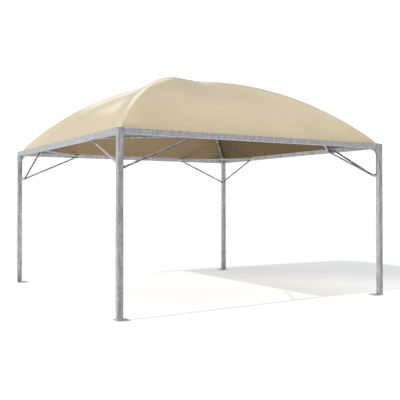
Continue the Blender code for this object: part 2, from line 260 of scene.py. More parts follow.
# Painted light on steel: faces turned to this side are painted lighter and faces turned away are
# painted darker, standing in for the sun from the left and above. Braces are painted light on top
# and near black underneath.
PAINTED_LIGHT_SIDE = Vector((-0.6, 0.0, 0.8))
BRACE_PAINTED_LIGHT_FROM = Vector((-0.25, 0.0, 0.97))
PAINTED_LIGHT_EDGE = (-0.35, 0.65)  # how squarely steel faces that side where its painted light starts and where it is full
AWAY_FROM_SUN = Vector((0.84, 0.07, -0.54))
BACKLIT_EDGE = (0.0, 0.45)  # the same for the inside of the fabric, where its painted light through the fabric starts and where it is full
BACKLIT = (0.165, 0.121, 0.068, 1.0)
CANOPY_COLOURS = ((0.585, 0.49, 0.322), (0.685, 0.576, 0.383))


def node(tree, kind, inputs=(), **settings):
    """Add a shader node with its settings, and give each input its value or its link."""
    made = tree.nodes.new(kind)
    for name, value in settings.items():
        setattr(made, name, value)
    for name, value in dict(inputs).items():
        if isinstance(value, bpy.types.NodeSocket):
            tree.links.new(value, made.inputs[name])
        else:
            made.inputs[name].default_value = value
    return made


def new_material(name, **inputs):
    """Return a material, its node tree and its shader."""
    material = bpy.data.materials.new(name)
    material.use_nodes = True
    tree = material.node_tree
    shader = tree.nodes["Principled BSDF"]
    for label, value in inputs.items():
        shader.inputs[label.replace("_", " ")].default_value = value
    return material, tree, shader


def stretched_noise(tree, coordinates, scale, stretch=(1.0, 1.0, 1.0), detail=4.0):
    """Return a noise, stretched along the axes with a small factor."""
    mapping = node(tree, "ShaderNodeMapping", {"Vector": coordinates, "Scale": stretch})
    inputs = {"Vector": mapping.outputs["Vector"], "Scale": scale, "Detail": detail}
    return node(tree, "ShaderNodeTexNoise", inputs).outputs["Fac"]


def combined(tree, operation, *values):
    """Return what an operation makes of values."""
    return node(tree, "ShaderNodeMath", enumerate(values), operation=operation).outputs["Value"]


def mapped(tree, output, old_range, new_range=(0.0, 1.0), easing="LINEAR"):
    """Return a value carried over from one range to another, and held at the ends."""
    names = ("Value", "From Min", "From Max", "To Min", "To Max")
    inputs = zip(names, (output, *old_range, *new_range))
    return node(tree, "ShaderNodeMapRange", inputs, interpolation_type=easing).outputs["Result"]


def dot_with(tree, output, direction):
    """Return the dot product with a fixed direction."""
    inputs = {0: output, 1: direction}
    return node(tree, "ShaderNodeVectorMath", inputs, operation="DOT_PRODUCT").outputs["Value"]


def turned_to(tree, direction):
    """Return how squarely the surface faces a direction."""
    return dot_with(tree, node(tree, "ShaderNodeNewGeometry").outputs["Normal"], direction)


def weighted_sum(tree, parts):
    """Return a half plus the sum of values, each less its middle value and times its weight."""
    total = 0.5 - sum(weight for _, weight in parts) / 2
    for output, weight in parts:
        total = combined(tree, "MULTIPLY_ADD", output, weight, total)
    return total


def blended(tree, factor, first, second):
    """Return a blend between two colours."""
    inputs = {"Factor": factor, "A": first, "B": second}
    return node(tree, "ShaderNodeMix", inputs, data_type="RGBA").outputs["Result"]


def add_bump(tree, shader, height, strength, distance):
    """Give a shader relief from a height."""
    inputs = {"Height": height, "Strength": strength, "Distance": distance}
    bump = node(tree, "ShaderNodeBump", inputs)
    tree.links.new(bump.outputs["Normal"], shader.inputs["Normal"])


def galvanised(
    name, dark, light, roughness, metallic=0.15, spangle=0.016, painted_light_weight=0.45, side=PAINTED_LIGHT_SIDE
):
    """Return hot-dip galvanised steel: spangle, cloudy patches and runs down the piece.

    Faces turned to the given side are painted brighter than the others: painted light from that
    side, and painted shade on the rest, as strongly as the painted light weight says.
    """
    material, tree, shader = new_material(name, Roughness=roughness, Metallic=metallic)
    coordinates = node(tree, "ShaderNodeTexCoord").outputs["Object"]
    cells = node(tree, "ShaderNodeTexVoronoi", {"Vector": coordinates, "Scale": 1.0 / spangle})
    cell = node(tree, "ShaderNodeSeparateColor", {"Color": cells.outputs["Color"]}).outputs
    patches = stretched_noise(tree, coordinates, 22.0, (1.0, 1.0, 0.22), detail=3.0)
    runs = stretched_noise(tree, coordinates, 60.0, (1.0, 1.0, 0.12), detail=5.0)
    grain = stretched_noise(tree, coordinates, 420.0)
    # painted light and painted shade, by how squarely a face turns to that side
    bright = mapped(tree, turned_to(tree, side), PAINTED_LIGHT_EDGE)
    marks = ((cell["Red"], 0.38), (patches, 1.5), (runs, 0.7), (grain, 0.25), (bright, painted_light_weight))
    tone = weighted_sum(tree, marks)
    tree.links.new(blended(tree, tone, (*dark, 1.0), (*light, 1.0)), shader.inputs["Base Color"])
    gloss = mapped(tree, cell["Green"], (0.0, 1.0), (roughness - 0.10, roughness + 0.12))
    tree.links.new(gloss, shader.inputs["Roughness"])
    add_bump(tree, shader, grain, 0.25, 0.0004)
    return material


def backlit(tree, colour):
    """Return a colour that is lighter where the sun strikes the other side of the fabric."""
    share = mapped(tree, turned_to(tree, AWAY_FROM_SUN), BACKLIT_EDGE)
    return blended(tree, share, colour, BACKLIT)


def woven(name, dark, light, roughness, coat, along="UV", inside=False):
    """Return coated woven fabric: threads at their real pitch, slubs and faint cloudy patches."""
    material, tree, shader = new_material(
        name, Roughness=roughness, Specular_IOR_Level=0.1, Coat_Weight=coat, Coat_Roughness=0.16
    )
    coordinates = node(tree, "ShaderNodeTexCoord")
    cut = coordinates.outputs[along]
    place = coordinates.outputs["Object"]
    threads = []
    inputs = {"Vector": cut, "Scale": THREAD_WAVES, "Distortion": 0.6, "Detail": 1.0}
    for direction in ("X", "Y"):
        thread = node(tree, "ShaderNodeTexWave", inputs, bands_direction=direction)
        threads.append(thread.outputs["Fac"])
    weave = combined(tree, "MAXIMUM", *threads)
    slubs = stretched_noise(tree, cut, 220.0, (0.08, 1.0, 1.0), detail=2.0)
    patches = stretched_noise(tree, place, 1.6, detail=3.0)
    mottle = stretched_noise(tree, place, 14.0, detail=5.0)
    tone = weighted_sum(tree, ((weave, 0.25), (slubs, 0.35), (patches, 1.2), (mottle, 0.6)))
    colour = blended(tree, tone, (*dark, 1.0), (*light, 1.0))
    if inside:
        colour = backlit(tree, colour)
    tree.links.new(colour, shader.inputs["Base Color"])
    add_bump(tree, shader, weave, 0.20, 0.0004)
    return material


def moulded(name, dark, light, roughness):
    """Return moulded plastic with a fine grain and faint scuffs."""
    material, tree, shader = new_material(name, Roughness=roughness)
    coordinates = node(tree, "ShaderNodeTexCoord").outputs["Object"]
    grain = stretched_noise(tree, coordinates, 900.0, detail=2.0)
    scuffs = stretched_noise(tree, coordinates, 90.0, (1.0, 0.2, 1.0))
    tone = weighted_sum(tree, ((grain, 0.4), (scuffs, 0.9)))
    tree.links.new(blended(tree, tone, (*dark, 1.0), (*light, 1.0)), shader.inputs["Base Color"])
    add_bump(tree, shader, grain, 0.3, 0.0003)
    return material


# Every steel below carries painted light on faces turned to its side and painted shade on the
# rest. The arches and braces carry it most strongly, so their undersides are painted dark.
POST_STEEL = galvanised("post_steel", (0.15, 0.157, 0.171), (0.415, 0.413, 0.41), 0.42, painted_light_weight=0.6)
BEAM_STEEL = galvanised("beam_steel", (0.185, 0.192, 0.215), (0.45, 0.455, 0.485), 0.40)
ARCH_STEEL = galvanised("arch_steel", (0.08, 0.082, 0.088), (0.54, 0.54, 0.55), 0.42, painted_light_weight=1.0)
BRACE_STEEL = galvanised(
    "brace_steel", (0.022, 0.025, 0.030), (0.55, 0.56, 0.58), 0.40, painted_light_weight=1.3, side=BRACE_PAINTED_LIGHT_FROM
)
# A lighter copy of the brace steel for the level braces, with much less painted shade: painted
# light on their undersides.
CORNER_BRACE_LIT_STEEL = galvanised(
    "corner_brace_lit_steel", (0.16, 0.17, 0.19), (0.45, 0.47, 0.50), 0.40, painted_light_weight=0.6
)
PLATE_STEEL = galvanised("plate_steel", (0.27, 0.278, 0.295), (0.62, 0.63, 0.65), 0.52)
BOLT_STEEL = galvanised("bolt_steel", (0.44, 0.445, 0.455), (0.76, 0.765, 0.77), 0.34, 0.2, 0.004)
WELD_STEEL = galvanised("weld_steel", (0.20, 0.20, 0.21), (0.46, 0.46, 0.47), 0.55, 0.5, 0.003)
CAP_PLASTIC = moulded("cap_plastic", (0.10, 0.10, 0.105), (0.17, 0.17, 0.175), 0.5)
CANOPY_FABRIC = woven("canopy_fabric", *CANOPY_COLOURS, 0.8, 0.6)
CANOPY_TAPE = woven("canopy_tape", *CANOPY_COLOURS, 0.8, 0.6, "Object")
# The inside of the sand fabric, painted dark brown as painted shade under the roof. The backlit
# blend adds painted light where the sun strikes the outside.
CANOPY_INSIDE_SHADE = woven(
    "canopy_inside_painted_shade", (0.078, 0.056, 0.029), (0.104, 0.075, 0.039), 0.9, 0.0, inside=True
)
THREAD = moulded("sewing_thread", (0.40, 0.34, 0.24), (0.60, 0.53, 0.40), 0.7)

SLOT_MATERIAL = {
    "post_steel": POST_STEEL,
    "beam_steel": BEAM_STEEL,
    "arch_steel": ARCH_STEEL,
    "brace_steel": BRACE_STEEL,
    "plate_steel": PLATE_STEEL,
    "cap_plastic": CAP_PLASTIC,
    "canopy_fabric": CANOPY_FABRIC,
}


def dress_nodes():
    """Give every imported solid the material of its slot."""
    for subpart in frame["record"]["subparts"]:
        solid = frame["nodes"][subpart["node"]]
        solid.data.materials.clear()
        solid.data.materials.append(SLOT_MATERIAL[subpart["material_slot"]])


# Making of pieces

def add_piece(work, name, materials, place=Matrix(), replaces=(), sharp=SHARP_ANGLE):
    """Turn a bmesh into a smooth piece that rides on the gazebo. Its sharper edges stay crisp."""
    bmesh.ops.transform(work, matrix=place, verts=work.verts)
    bmesh.ops.recalc_face_normals(work, faces=work.faces)
    mesh = bpy.data.meshes.new(name)
    work.to_mesh(mesh)
    work.free()
    mesh.shade_smooth()
    mesh.set_sharp_from_angle(angle=sharp)
    for material in materials:
        mesh.materials.append(material)
    piece = add_object(name, mesh)
    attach(piece, "root")
    if replaces:
        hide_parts(*replaces)
    return piece


def thicken(piece, name, thickness):
    """Give a skin its thickness, on its outer side."""
    modifier = piece.modifiers.new(name, "SOLIDIFY")
    modifier.thickness = thickness
    modifier.offset = 1.0
    return modifier


def loft(work, rings, material_index=0):
    """Add a closed skin through rings of equal length, with flat ends."""
    loops = [[work.verts.new(point) for point in ring] for ring in rings]
    sides = len(loops[0])
    faces = []
    for first, second in zip(loops, loops[1:]):
        for step in range(sides):
            corners = (first[step - 1], first[step], second[step], second[step - 1])
            faces.append(work.faces.new(corners))
    faces.append(work.faces.new(loops[0]))
    faces.append(work.faces.new(reversed(loops[-1])))
    for face in faces:
        face.material_index = material_index


def circle(centre, first, second, radius, sides):
    """Return the points of a circle in the plane of two unit vectors."""
    points = []
    for step in range(sides):
        angle = math.tau * step / sides
        offset = first * math.cos(angle) + second * math.sin(angle)
        points.append(centre + offset * radius)
    return points


def turned(work, place, profile, sides, material_index=0):
    """Add a turned part: a profile of (radius, height) about the Z axis of a place."""
    axes = place.to_3x3()
    rings = [
        circle(place @ (UP * height), axes.col[0], axes.col[1], radius, sides)
        for radius, height in profile
    ]
    loft(work, rings, material_index)


def facing(point, axis):
    """Return a place whose Z axis points along an axis."""
    turn = Vector(axis).to_track_quat("Z", "Y").to_matrix().to_4x4()
    return Matrix.Translation(point) @ turn


def hex_bolt(work, place, size, proud=0.0, material_index=0):
    """Add a washer and a hexagon head, or a nut with its thread standing proud."""
    washer = 0.16 * size
    wide = 1.20 * size
    across = 0.90 * size
    chamfer = 0.10 * size
    rim = wide - chamfer / 2
    top = washer + 0.65 * size
    disc = ((rim, 0.0), (wide, 0.25 * washer), (wide, 0.75 * washer), (rim, washer))
    hexagon = ((across, washer), (across, top - chamfer), (across - chamfer, top))
    turned(work, place, disc, WASHER_SIDES, material_index)
    turned(work, place, hexagon, 6, material_index)
    if proud:
        pitch = 0.15 * size
        root = 0.42 * size
        crest = 0.50 * size
        thread = [(root, top)]
        for index in range(int(proud / pitch)):
            thread.append((crest, top + (index + 0.5) * pitch))
            thread.append((root, top + (index + 1) * pitch))
        turned(work, place, thread, THREAD_SIDES, material_index)


def weld_bead(work, start, end, radius):
    """Add a weld bead from start to end, with the ripples that the weld pool leaves."""
    run = end - start
    direction = run.normalized()
    side = direction.orthogonal().normalized()
    up = side.cross(direction)
    steps = max(4, int(run.length / WELD_PITCH) * 3)
    rings = []
    for index in range(steps + 1):
        share = index / steps
        wave = abs(math.sin(math.pi * share * run.length / WELD_PITCH))
        width = radius * between(1 - WELD_RIPPLE, 1, wave)
        width *= min(1.0, WELD_TIP + WELD_SWELL * min(share, 1 - share))
        rings.append(circle(start + run * share, side, up, width, WELD_SIDES))
    loft(work, rings)


# Shape of the roof

def arc_height(radius, run):
    """Return the height of an arc about the crown's axis at a level run from that axis."""
    return ARC_CENTRE + math.sqrt(radius**2 - run**2)


def panel_sag(share):
    """Return the sag of a panel's middle, as a part of the deepest, at a share of the way down."""
    deepest = 1 / (1 + SAG_FALL)
    return share / deepest * ((1 - share) / (1 - deepest)) ** SAG_FALL


def ridge_round(along):
    """Return how far the fabric bends round a ridge, at a distance along it from the crown."""
    slope = along / math.sqrt(RIDGE_RADIUS**2 - along**2)
    return slope * RIDGE_ROUND * smooth_step((RIDGE_FOOT - along) / ROUND_START)


def bell(distance, width):
    """Return 1 at no distance, falling off smoothly over a width."""
    return math.exp(-((distance / width) ** 2))


def ridge_form(along, off):
    """Return how far the fabric stands up at a ridge: over the arch, beside it and at its foot."""
    crest = arc_height(ARCH_RADIUS + ARCH_DIAMETER / 2 + FABRIC_SEAT, along)
    over_arch = crest - arc_height(RIDGE_RADIUS, along + ridge_round(along))
    fullness = (off / SHOULDER_OFF) ** 2 * math.e * bell(off, SHOULDER_OFF)
    shoulder = SHOULDER * fullness * bell(along - SHOULDER_ALONG, SHOULDER_LENGTH)
    foot_rise = FOOT_RISE * math.exp((along - RIDGE_FOOT) / FOOT_RISE_LENGTH)
    return over_arch * bell(off, CREST_WIDTH) + shoulder + foot_rise * bell(off, FOOT_RISE_WIDTH)


def canopy_height(x, y):
    """Return the height of the canopy's inside.

    The panels run nearly level from arch to arch and turn into each other in round ridges. A
    panel sags between its ridges, and the hem runs out flat.
    """
    far = max(abs(x), abs(y))
    near = min(abs(x), abs(y))
    along = (far + near) / ROOT_TWO
    off = (far - near) / ROOT_TWO
    dome = arc_height(RIDGE_RADIUS, along + math.hypot(off, ridge_round(along)))
    share = far / INNER
    if share < 1:
        eased = 1 - math.exp(-(INNER - far) * ROOT_TWO / EDGE_EASE)
        dome += ridge_form(along, off) * eased
        across = near / far if far else 1.0
        dome -= PANEL_SAG * panel_sag(share) * (1 - across**2) * (1 - bell(off, CREST_WIDTH))
        ripple = sum(noise.noise(Vector((x * rate, y * rate, seed))) for rate, seed in RIPPLES)
        dome += RIPPLE * ripple * math.sin(math.pi * share) * (1 - across**4)
    dome += CROWN_BUMP * bell(math.hypot(x, y), CROWN_SPREAD)
    hem = EAVES + GAP
    return (dome + hem + math.sqrt((dome - hem) ** 2 + HEM_BEND**2)) / 2


def fabric_top(x, y):
    """Return the height of the canopy's outside."""
    run = min(math.hypot(x, y), RIDGE_FOOT)
    return canopy_height(x, y) + FABRIC * RIDGE_RADIUS / math.sqrt(RIDGE_RADIUS**2 - run**2)


# Canopy

def column_places(width):
    """Return where the columns of a panel cross a level line, from its middle to a ridge."""
    first = min(1.0, FIRST_COLUMN * HALF_COLUMNS / width)
    places = []
    for index in range(HALF_COLUMNS + 1):
        share = 1 - index / HALF_COLUMNS
        places.append(width * (1 - first * share - (1 - first) * share**2))
    return places


def canopy_rows():
    """Return the half widths of the canopy's level lines, from the hem bend to the crown."""
    bend = [INNER - step for step in HEM_BEND_ROWS]
    last_angle = math.asin(bend[-1] * ROOT_TWO / RIDGE_RADIUS)
    rows = []
    for index in range(1, ROWS):
        angle = last_angle * (1 - index / ROWS)
        rows.append(RIDGE_RADIUS * math.sin(angle) / ROOT_TWO)
    return bend + rows


def line_places(row, end):
    """Return the places across a level line, from ridge to ridge and none of them past an end."""
    ahead = [min(place, end) for place in column_places(row)]
    return [-place for place in reversed(ahead)] + ahead[1:]


def side_point(place, row, side):
    """Return the level point of a place across one side of the roof."""
    return Matrix.Rotation(side * math.pi / 2, 2) @ Vector((place, -row))


def skin(work, uv, first, second, first_length, second_length):
    """Add the faces between two lines of (vertex, place), with their place in the cut as UV."""
    for step in range(len(first) - 1):
        spots = (
            (*first[step], first_length),
            (*first[step + 1], first_length),
            (*second[step + 1], second_length),
            (*second[step], second_length),
        )
        face = work.faces.new([vertex for vertex, _, _ in spots])
        for loop, (_, place, length) in zip(face.loops, spots):
            loop[uv].uv = (place, length)


def panel_lines(work, rows, side, ridge_vertices):
    """Return a panel's level lines of (vertex, place). The panels share the ridges."""
    lines = []
    for index, row in enumerate(rows):
        places = line_places(row, row)
        line = []
        for step, place in enumerate(places):
            on_ridge = step in (0, len(places) - 1)
            key = (index, side if step == 0 else (side + 1) % 4)
            vertex = ridge_vertices.get(key) if on_ridge else None
            if vertex is None:
                point = side_point(place, row, side)
                vertex = work.verts.new((*point, canopy_height(*point)))
            if on_ridge:
                ridge_vertices[key] = vertex
            line.append((vertex, place))
        lines.append(line)
    return lines


def close_crown(work, uv, line, crown, line_length, crown_length):
    """Add the faces from a panel's last level line up to the crown."""
    for first, second in zip(line, line[1:]):
        face = work.faces.new((first[0], second[0], crown))
        spots = ((first[1], line_length), (second[1], line_length), (0.0, crown_length))
        for loop, spot in zip(face.loops, spots):
            loop[uv].uv = spot


def add_hem(work, uv, side, before):
    """Add the part of the sheet that lies on a beam, out from the panel's first level line."""
    places = line_places(INNER, INNER - NOTCH_CLEARANCE)[1:-1]
    for index in range(1, HEM_ROWS + 1):
        row = INNER + (HALF_SIDE - HEM_INSET - INNER) * index / HEM_ROWS
        line = []
        for place in places:
            point = side_point(place, row, side)
            line.append((work.verts.new((*point, canopy_height(*point))), place))
        skin(work, uv, line, before, INNER - row, (INNER - row) * (index - 1) / index)
        before = line


def canopy_mesh():
    """Return the canopy's inner skin: level lines around the crown, and a hem on each beam."""
    work = bmesh.new()
    uv = work.loops.layers.uv.new("cut")
    rows = canopy_rows()
    middles = [Vector((0.0, -row, canopy_height(0.0, -row))) for row in rows]
    lengths = [0.0]
    for first, second in zip(middles, middles[1:]):
        lengths.append(lengths[-1] + (second - first).length)
    crown_length = lengths[-1] + middles[-1].xy.length
    crown = work.verts.new((0.0, 0.0, canopy_height(0.0, 0.0)))
    ridge_vertices = {}
    for side in range(4):
        lines = panel_lines(work, rows, side, ridge_vertices)
        for index in range(len(rows) - 1):
            skin(work, uv, lines[index], lines[index + 1], lengths[index], lengths[index + 1])
        close_crown(work, uv, lines[-1], crown, lengths[-1], crown_length)
        add_hem(work, uv, side, lines[0][1:-1])
    return work


def build_canopy():
    """Make the fabric: one sheet with its thickness and an inside painted dark, as painted shade
    under the roof.
    """
    work = canopy_mesh()
    fabrics = (CANOPY_FABRIC, CANOPY_INSIDE_SHADE)
    sheet = add_piece(
        work, "canopy_sheet", fabrics, replaces=("canopy",), sharp=math.pi
    )
    cloth = thicken(sheet, "cloth", FABRIC)
    cloth.material_offset = 1
    cloth.material_offset_rim = 0
    return sheet


def cut_size():
    """Return the length of a panel up its middle, from hem to crown, and the area of the cut."""
    hem = HALF_SIDE - HEM_INSET
    length = hem - INNER
    area = 8 * INNER * length
    previous = Vector((INNER, EAVES))
    for index in range(1, CUT_STEPS + 1):
        run = RIDGE_FOOT * (1 - index / CUT_STEPS)
        point = Vector((run / ROOT_TWO, arc_height(RIDGE_RADIUS, run)))
        step = (point - previous).length
        length += step
        area += 4 * step * (point.x + previous.x)
        previous = point
    return length, area


def stitches(work, place_at, length, line):
    """Add a row of stitches on one line of a seam. place_at gives its points and the way up."""
    for index in range(int(length / STITCH_PITCH)):
        rings = []
        ahead, _ = place_at((index + 1) * STITCH_PITCH, line)
        for share, rise in STITCH_RISES:
            point, up = place_at((index + share * STITCH / STITCH_PITCH) * STITCH_PITCH, line)
            across = up.cross(ahead - point).normalized()
            rings.append(circle(point + up * rise * STITCH_RADIUS, across, up, STITCH_RADIUS, 4))
        loft(work, rings)


def hem_section():
    """Return the outline of the hem across the beam: a roll at the edge and a fold."""
    section = []
    for step in range(ROLL_STEPS + 1):
        angle = math.pi * step / ROLL_STEPS
        section.append((-HEM_ROLL * math.sin(angle), HEM_ROLL - HEM_ROLL * math.cos(angle)))
    fold_top = FABRIC + HEM_FOLD
    section += (
        (HEM_SLOPE / 2, (2 * HEM_ROLL + fold_top) / 2),
        (HEM_SLOPE, fold_top),
        (HEM_WIDTH - HEM_CORNER, fold_top),
        (HEM_WIDTH, FABRIC + HEM_FOLD / 2),
        (HEM_WIDTH - HEM_CORNER, FABRIC),
        (HEM_UNDER, FABRIC),
    )
    return section


def build_hem(index):
    """Make the rolled and folded hem on one beam, its stitching and the screws that hold it."""
    start = TUBE + NOTCH_CLEARANCE
    length = 2 * (HALF_SIDE - start)
    seat = EAVES + GAP
    fold_top = seat + FABRIC + HEM_FOLD
    place = corner_matrix(index)
    name = f"{SIDES[index]}_hem"

    hem = bmesh.new()
    rings = []
    rate, side_seed, seed = HEM_SWAYS
    for step in range(HEM_STEPS + 1):
        x = start + length * step / HEM_STEPS
        sway = HEM_SWAY * noise.noise(Vector((x * rate, index * side_seed, seed)))
        rings.append([Vector((x, HEM_INSET + y + sway, seat + z)) for y, z in hem_section()])
    loft(hem, rings)
    pieces = [add_piece(hem, name, (CANOPY_TAPE,), place)]

    def place_at(run, inset):
        return Vector((start + run, HEM_INSET + inset, fold_top)), UP

    seam = bmesh.new()
    for inset in HEM_SEAMS:
        stitches(seam, place_at, length, inset)
    pieces.append(add_piece(seam, f"{name}_stitching", (THREAD,), place))

    fixings = bmesh.new()
    count = int(length / FIXING_PITCH)
    for number in range(count + 1):
        x = between(start + FIXING_START, start + length - FIXING_START, number / count)
        spot = Matrix.Translation((x, HEM_INSET + FIXING_INSET, fold_top))
        turned(fixings, spot, EYELET, FIXING_SIDES)
        turned(fixings, spot, SCREW, FIXING_SIDES)
    add_piece(fixings, f"{name}_fixings", (BOLT_STEEL,), place)
    return pieces


def ridge_spot(angle, side, above):
    """Return a point over a ridge, at an angle from the crown and to one side."""
    run = RIDGE_RADIUS * math.sin(angle)
    x = (run + side) / ROOT_TWO
    y = (run - side) / ROOT_TWO
    return Vector((run, -side, fabric_top(x, y) + above))


def build_ridge_seam(index):
    """Make the tape that covers the seam on one ridge, and the two rows of stitches through it."""
    place = arch_matrix(index)
    first_angle = math.asin(TAPE_START / RIDGE_RADIUS)
    last_angle = math.asin((RIDGE_FOOT - TAPE_END) / RIDGE_RADIUS)
    name = f"{CORNERS[index]}_ridge_seam"

    tape = bmesh.new()
    lines = []
    for step in range(TAPE_STEPS + 1):
        angle = between(first_angle, last_angle, step / TAPE_STEPS)
        line = []
        for column in range(TAPE_COLUMNS + 1):
            side = TAPE_HALF_WIDTH * (2 * column / TAPE_COLUMNS - 1)
            line.append(tape.verts.new(ridge_spot(angle, side, TAPE_LIFT)))
        lines.append(line)
    for first, second in zip(lines, lines[1:]):
        for column in range(TAPE_COLUMNS):
            tape.faces.new((first[column], second[column], second[column + 1], first[column + 1]))
    piece = add_piece(tape, name, (CANOPY_TAPE,), place)
    thicken(piece, "tape", TAPE)

    def place_at(length, side):
        angle = first_angle + length / RIDGE_RADIUS
        up = Vector((math.sin(angle), 0.0, math.cos(angle)))
        return ridge_spot(angle, side, TAPE_LIFT + TAPE), up

    seam = bmesh.new()
    for side in (-TAPE_SEAM, TAPE_SEAM):
        stitches(seam, place_at, (last_angle - first_angle) * RIDGE_RADIUS, side)
    stitching = add_piece(seam, f"{name}_stitching", (THREAD,), place)
    return [piece, stitching]


def round_spot(radius, angle, above):
    """Return a point over the fabric, at a radius from the crown and an angle round it."""
    x = radius * math.cos(angle)
    y = radius * math.sin(angle)
    return Vector((x, y, fabric_top(x, y) + above))


def build_crown_patch():
    """Make the round patch of fabric where the four seams meet."""
    patch = bmesh.new()
    above = TAPE + PATCH_LIFT
    centre = patch.verts.new(round_spot(0.0, 0.0, above))
    rings = []
    for number in range(1, PATCH_RINGS + 1):
        radius = PATCH_RADIUS * number / PATCH_RINGS
        ring = []
        for step in range(PATCH_SIDES):
            angle = math.tau * step / PATCH_SIDES
            ring.append(patch.verts.new(round_spot(radius, angle, above)))
        rings.append(ring)
    for step in range(PATCH_SIDES):
        patch.faces.new((centre, rings[0][step - 1], rings[0][step]))
        for inner, outer in zip(rings, rings[1:]):
            patch.faces.new((inner[step - 1], outer[step - 1], outer[step], inner[step]))
    piece = add_piece(patch, "crown_patch", (CANOPY_TAPE,))
    thicken(piece, "patch", TAPE)

    def place_at(length, radius):
        return round_spot(radius, length / radius, above + TAPE), UP

    seam = bmesh.new()
    stitches(seam, place_at, math.tau * PATCH_SEAM, PATCH_SEAM)
    stitching = add_piece(seam, "crown_patch_stitching", (THREAD,))
    return [piece, stitching]


# Roof arches and crown

def arch_ring(run, radius):
    """Return a ring square to an arch in the XZ plane, at a level run from the crown's axis."""
    slope = run / math.sqrt(ARCH_RADIUS**2 - run**2)
    outward = Vector((slope, 0.0, 1.0)).normalized()
    centre = Vector((run, 0.0, arc_height(ARCH_RADIUS, run)))
    return circle(centre, outward, Vector((0.0, 1.0, 0.0)), radius, ARCH_SIDES)


def arch_length(work, stations, place=Matrix(), material_index=0):
    """Add a length of arch through stations of (run, radius)."""
    rings = [[place @ point for point in arch_ring(run, radius)] for run, radius in stations]
    loft(work, rings, material_index)


def collar_stations(start, end, radius):
    """Return the stations of a collar with chamfered ends."""
    return (
        (start, radius - CHAMFER),
        (start + CHAMFER, radius),
        (end - CHAMFER, radius),
        (end, radius - CHAMFER),
    )


def build_arch(index):
    """Make one quarter arch: round tube, the collar at its lower end and the spigot below it."""
    tube = [
        (between(CROWN_ARM, COLLAR_RUN, step / ARCH_STEPS), ARCH_DIAMETER / 2)
        for step in range(ARCH_STEPS + 1)
    ]
    half = COLLAR_LENGTH / 2
    work = bmesh.new()
    arch_length(work, tube)
    collar = collar_stations(COLLAR_RUN - half, COLLAR_RUN + half, COLLAR_RADIUS)
    arch_length(work, collar, material_index=1)
    spigot = collar_stations(COLLAR_RUN, RIDGE_FOOT - ARCH_END, SPIGOT_RADIUS)
    arch_length(work, spigot, material_index=2)
    corner = CORNERS[index]
    place = arch_matrix(index)
    steels = (ARCH_STEEL, WELD_STEEL, PLATE_STEEL)
    add_piece(work, f"{corner}_arch_tube", steels, place, (f"{corner}_roof_arch",))


def build_crown():
    """Make the joint at the crown: four sleeves, a hub, a domed plate and their bolts."""
    work = bmesh.new()
    for index in range(4):
        place = arch_matrix(index)
        arch_length(work, collar_stations(0.0, SLEEVE_REACH, SLEEVE_RADIUS), place)
        for run in SLEEVE_BOLTS:
            height = arc_height(ARCH_RADIUS, run)
            for side, proud in ((-1, 0.0), (1, SLEEVE_BOLT_PROUD)):
                seat = facing((run, side * SLEEVE_BOLT_SEAT, height), (0.0, side, 0.0))
                hex_bolt(work, place @ seat, SLEEVE_BOLT, proud, material_index=1)
    centre = UP * arc_height(ARCH_RADIUS, 0.0)
    hub = (
        (HUB_RADIUS - HUB_CHAMFER, -HUB_DEPTH),
        (HUB_RADIUS, HUB_CHAMFER - HUB_DEPTH),
        (HUB_RADIUS, HUB_TOP),
    )
    for profile in (hub, CROWN_PLATE):
        turned(work, Matrix.Translation(centre), profile, CROWN_SIDES)
    under_hub = facing(centre - UP * HUB_DEPTH, -UP)
    hex_bolt(work, under_hub, HUB_BOLT, HUB_BOLT_PROUD, material_index=1)
    steels = (PLATE_STEEL, BOLT_STEEL)
    add_piece(work, "crown_joint", steels, replaces=("crown_connector",))


# Braces

def brace_half(end, tube_direction, tube_level, sense):
    """Return the rings of half a brace, from the rounded tip of its flat end to the tube."""
    tip, bend, tube, level = end
    along = (bend - tip).normalized()
    stations = []
    for step in range(1, TIP_STEPS + 1):
        angle = math.pi / 2 * step / TIP_STEPS
        centre = tip + along * FLAT_HALF_WIDTH * (1 - math.cos(angle))
        stations.append((centre, 0.0, math.sin(angle)))
    for step in range(TAPER_STEPS + 1):
        share = step / TAPER_STEPS
        stations.append((bend.lerp(tube, share), smooth_step(share), 1.0))
    rings = []
    for centre, round_share, width_share in stations:
        direction = (along * sense).lerp(tube_direction, round_share)
        across = level.lerp(tube_level, round_share).normalized()
        upright = across.cross(direction).normalized()
        half_width = between(FLAT_HALF_WIDTH, BRACE_RADIUS, round_share) * width_share
        half_thickness = between(FLAT_HALF_THICKNESS, BRACE_RADIUS, round_share)
        roundness = half_thickness / max(half_width, half_thickness)
        power = between(FLAT_SQUARENESS, 1.0, roundness)
        ring = []
        for step in range(BRACE_SIDES):
            angle = math.tau * step / BRACE_SIDES
            wide = math.copysign(abs(math.cos(angle)) ** power, math.cos(angle))
            thick = math.copysign(abs(math.sin(angle)) ** power, math.sin(angle))
            ring.append(centre + upright * half_width * wide + across * half_thickness * thick)
        rings.append(ring)
    return rings


def brace_mesh(first, last):
    """Return a brace of round tube with its ends pressed flat.

    An end is its tip, the end of its flat, the start of the tube and the level direction across
    the flat.
    """
    run = last[2] - first[2]
    level = Vector((run.y, -run.x, 0.0)).normalized()
    rings = brace_half(first, run.normalized(), level, 1.0)
    rings += reversed(brace_half(last, run.normalized(), level, -1.0))
    work = bmesh.new()
    loft(work, rings)
    return work


